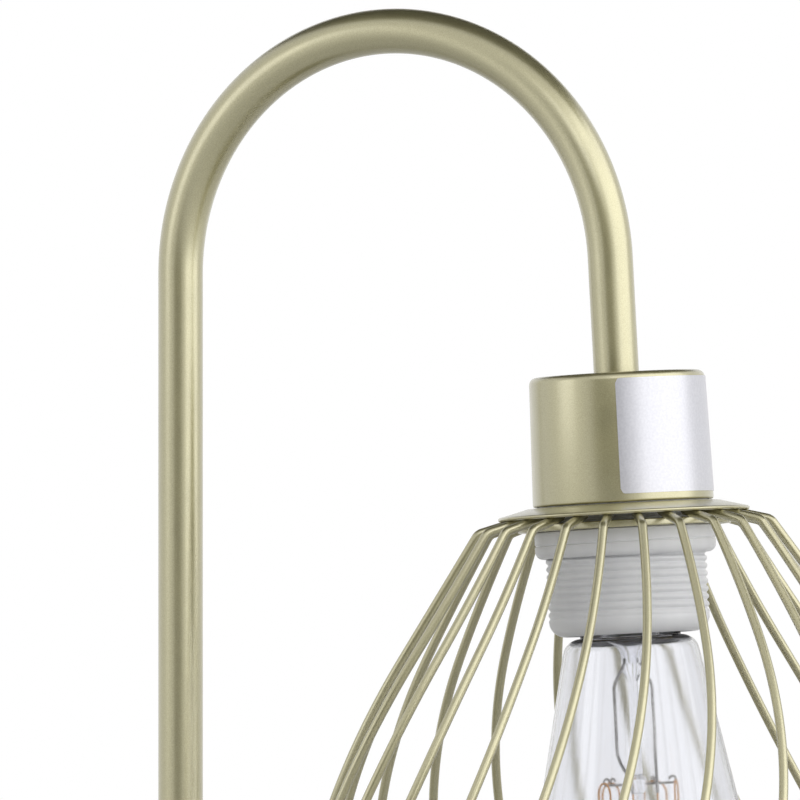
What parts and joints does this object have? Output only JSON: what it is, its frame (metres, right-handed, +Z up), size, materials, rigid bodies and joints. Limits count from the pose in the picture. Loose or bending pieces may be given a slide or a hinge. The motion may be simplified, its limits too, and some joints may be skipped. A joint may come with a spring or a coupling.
{
  "type": "table lamp",
  "caption": "Table lamp with a round weighted base, an arched tube, a hanging twisted-wire cage shade and a clear pear-shaped screw-in bulb.",
  "frame": {"origin": "centre of the felt pad's underside, on the surface that the lamp stands on", "axes": "+Z up, +X from the pole towards the lamp head, in the plane of the arch"},
  "size_m": [0.2492, 0.174, 0.4402],
  "materials": {
    "gold_paint": "satin champagne-gold metallic paint",
    "zinc_steel": "zinc plated",
    "spring_steel": "bright spring wire",
    "cast_weight": "rough casting",
    "felt": "black felt",
    "black_plastic": "moulded",
    "lead_sheath": "translucent sheath",
    "core_insulation": "insulated wire",
    "foil_label": "blank silver sticker",
    "white_plastic": "moulded, semi gloss",
    "white_ceramic": "pressed ceramic",
    "contact_brass": "bright",
    "black_glass": "glassy",
    "clear_glass": "clear blown glass",
    "support_wire": "drawn wire",
    "filament_wire": "fine carbon thread, brown when cold"
  },
  "bodies": {
    "stand": {"felt_pad": "felt", "bottom_plate": "zinc_steel", "plate_screws": "zinc_steel", "base_weight": "cast_weight", "base_cover": "gold_paint", "cord_bushing": "black_plastic", "pole_collar": "gold_paint", "pole_stud": "zinc_steel", "pole_lock_washer": "zinc_steel", "pole_nut": "zinc_steel", "arch_tube": "gold_paint", "inner_lead": "lead_sheath", "lead_cores": "core_insulation", "cup_stud": "zinc_steel", "socket_cup": "gold_paint", "cup_label": "foil_label", "cup_lock_washer": "zinc_steel", "cup_nut": "zinc_steel", "holder_dome": "white_plastic", "holder_skirt": "white_plastic", "holder_core": "white_ceramic", "screw_shell": "contact_brass", "live_terminal": "contact_brass", "neutral_terminal": "contact_brass", "terminal_screws": "contact_brass", "shell_rivet": "contact_brass", "contact_spring": "spring_steel"},
    "cage": {"cage_disc": "gold_paint", "cage_clamp_ring": "gold_paint", "cage_wires": "gold_paint", "cage_bottom_ring": "gold_paint"},
    "ring": {"shade_ring": "white_plastic"},
    "contact": {"contact_plunger": "contact_brass"},
    "bulb": {"cap_tip": "contact_brass", "cap_insulator": "black_glass", "bulb_cap": "contact_brass", "bulb_glass": "clear_glass", "bulb_stem": "clear_glass", "bulb_leads": "support_wire", "filament_hooks": "support_wire", "filament": "filament_wire"}
  },
  "joints": [
    {"name": "cage_drop", "type": "slide", "parent": "stand", "child": "cage", "axis": [0.0593, 0, -0.9982], "range_m": [0, 0.016]},
    {"name": "ring_turn", "type": "hinge", "parent": "cage", "child": "ring", "pos_m": [0.06731, 0, 0.34883], "axis": [0.0593, 0, -0.9982], "range_deg": [0, 3032]},
    {"name": "contact_travel", "type": "slide", "parent": "stand", "child": "contact", "axis": [0.0593, 0, -0.9982], "range_m": [0, 0.00267], "deforming": ["contact_spring"]},
    {"name": "bulb_turn", "type": "hinge", "parent": "contact", "child": "bulb", "pos_m": [0.06731, 0, 0.34883], "axis": [0.0593, 0, -0.9982], "range_deg": [0, 265]}
  ],
  "couplings": [
    {"joint": "ring_turn", "follows": "cage_drop", "rad_per_m": 3306.9},
    {"joint": "bulb_turn", "follows": "contact_travel", "rad_per_m": 1731.4}
  ]
}
